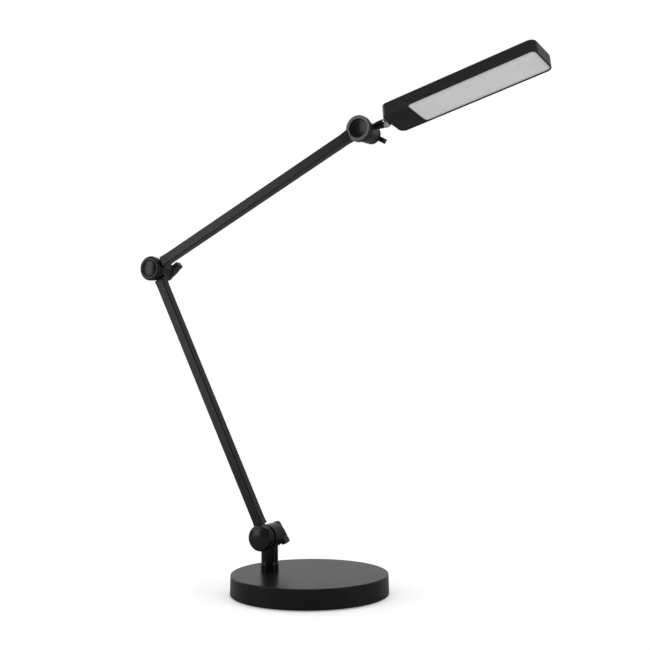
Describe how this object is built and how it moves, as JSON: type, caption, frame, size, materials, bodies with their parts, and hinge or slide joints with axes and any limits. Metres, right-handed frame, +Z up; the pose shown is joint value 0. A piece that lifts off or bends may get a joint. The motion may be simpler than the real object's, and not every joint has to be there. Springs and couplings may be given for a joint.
{
  "type": "desk lamp",
  "caption": "Double-arm LED desk lamp: weighted round base with swivelling post, square-tube arms on friction joints with wing knobs, ball-jointed flat lamp head with opal diffuser",
  "frame": {"origin": "centre of the round base on the surface that it stands on", "axes": "+Z up, +X the way the lamp reaches, joint axes along Y with the caps facing -Y and the wing knobs facing +Y"},
  "size_m": [0.5709, 0.2022, 0.6516],
  "materials": {
    "dark_paint": "satin dark grey powder coat on steel or zinc castings",
    "dark_painted_aluminium": "satin dark grey powder coat on aluminium",
    "black_plastic": "fine matte moulded plastic",
    "grey_plastic": "satin dark grey moulded plastic",
    "cast_iron": "raw casting",
    "zinc_steel": "zinc plated",
    "bright_chrome": "polished",
    "brass": "machined",
    "foam": "closed-cell foam",
    "cable_sheath": "flexible lead",
    "opal": "opal diffuser, satin",
    "white_plastic": "white moulded plastic",
    "circuit_board": "white solder mask",
    "control_board": "green solder mask",
    "diode": "phosphor under clear resin",
    "bare_aluminium": "plain sheet"
  },
  "bodies": {
    "base": {"base_cover": "dark_paint", "base_ballast": "cast_iron", "base_plate": "zinc_steel", "base_pad": "foam", "base_screws": "zinc_steel", "power_inlet": "black_plastic", "inlet_pin": "brass", "swivel_bushing": "white_plastic", "base_lead": "cable_sheath"},
    "post": {"post": "dark_paint", "swivel_slip_washer": "black_plastic", "swivel_washer": "zinc_steel", "swivel_nut": "zinc_steel", "post_lead": "cable_sheath", "base_joint_washer": "zinc_steel"},
    "lower_arm": {"lower_arm_foot": "dark_paint", "lower_arm_tube": "dark_painted_aluminium", "lower_arm_head": "dark_paint", "lower_arm_lead": "cable_sheath", "base_joint_bolt": "zinc_steel", "base_joint_friction_ring": "black_plastic", "base_joint_cap": "grey_plastic", "elbow_washer": "zinc_steel"},
    "upper_arm": {"upper_arm_foot": "dark_paint", "upper_arm_tube": "dark_painted_aluminium", "upper_arm_head": "dark_paint", "upper_arm_lead": "cable_sheath", "elbow_bolt": "zinc_steel", "elbow_friction_ring": "black_plastic", "elbow_cap": "grey_plastic", "head_joint_bolt": "zinc_steel", "head_joint_friction_ring": "black_plastic", "head_joint_plug": "grey_plastic"},
    "bracket": {"head_bracket": "dark_paint", "head_joint_washer": "zinc_steel"},
    "cup": {"ball_cup": "black_plastic"},
    "head": {"ball_stud": "bright_chrome", "ball_pin": "zinc_steel", "ball_collar": "black_plastic", "stud_nut": "zinc_steel", "head_housing": "dark_painted_aluminium", "head_bezel": "grey_plastic", "diffuser": "opal", "reflector_frame": "white_plastic", "heat_spreader": "bare_aluminium", "led_board": "circuit_board", "leds": "diode", "driver_board": "control_board", "driver_screws": "zinc_steel", "tact_switch": "black_plastic"},
    "button": {"switch_button": "black_plastic"},
    "base_joint_wing_knob": {"base_joint_knob": "grey_plastic", "base_joint_knob_insert": "brass"},
    "elbow_wing_knob": {"elbow_knob": "grey_plastic", "elbow_knob_insert": "brass"},
    "head_joint_wing_knob": {"head_joint_knob": "grey_plastic", "head_joint_knob_insert": "brass"}
  },
  "joints": [
    {"name": "base_swivel", "type": "hinge", "parent": "base", "child": "post", "pos_m": [-0.05407, -0.00827, 0.0261], "axis": [0, 0, 1], "range_deg": [-170, 170]},
    {"name": "base_tilt", "type": "hinge", "parent": "post", "child": "lower_arm", "pos_m": [-0.05407, -0.00827, 0.0705], "axis": [0, 1, 0], "range_deg": [-40, 55]},
    {"name": "elbow", "type": "hinge", "parent": "lower_arm", "child": "upper_arm", "pos_m": [-0.22817, -0.00827, 0.42495], "axis": [0, 1, 0], "range_deg": [-85, 38]},
    {"name": "head_tilt", "type": "hinge", "parent": "upper_arm", "child": "bracket", "pos_m": [0.08806, -0.00827, 0.58158], "axis": [0, 1, 0], "range_deg": [-75, 105]},
    {"name": "head_twist", "type": "hinge", "parent": "bracket", "child": "cup", "pos_m": [0.11472, -0.00407, 0.5912], "axis": [0.982, 0, 0.1891], "range_deg": [-90, 90]},
    {"name": "head_pan", "type": "hinge", "parent": "cup", "child": "head", "pos_m": [0.11472, -0.00407, 0.5912], "axis": [-0.1832, 0.2487, 0.9511], "range_deg": [-18, 32]},
    {"name": "switch_press", "type": "slide", "parent": "head", "child": "button", "axis": [0.1832, -0.2487, -0.9511], "range_m": [0, 0.0008], "stiffness_N_per_m": 600, "springref_m": -0.001},
    {"name": "base_joint_knob_turn", "type": "hinge", "parent": "lower_arm", "child": "base_joint_wing_knob", "pos_m": [-0.05407, -0.00827, 0.0705], "axis": [0, 1, 0], "range_deg": [0, 180]},
    {"name": "elbow_knob_turn", "type": "hinge", "parent": "upper_arm", "child": "elbow_wing_knob", "pos_m": [-0.22817, -0.00827, 0.42495], "axis": [0, 1, 0], "range_deg": [0, 180]},
    {"name": "head_joint_knob_turn", "type": "hinge", "parent": "upper_arm", "child": "head_joint_wing_knob", "pos_m": [0.08806, -0.00827, 0.58158], "axis": [0, 1, 0], "range_deg": [0, 180]}
  ]
}
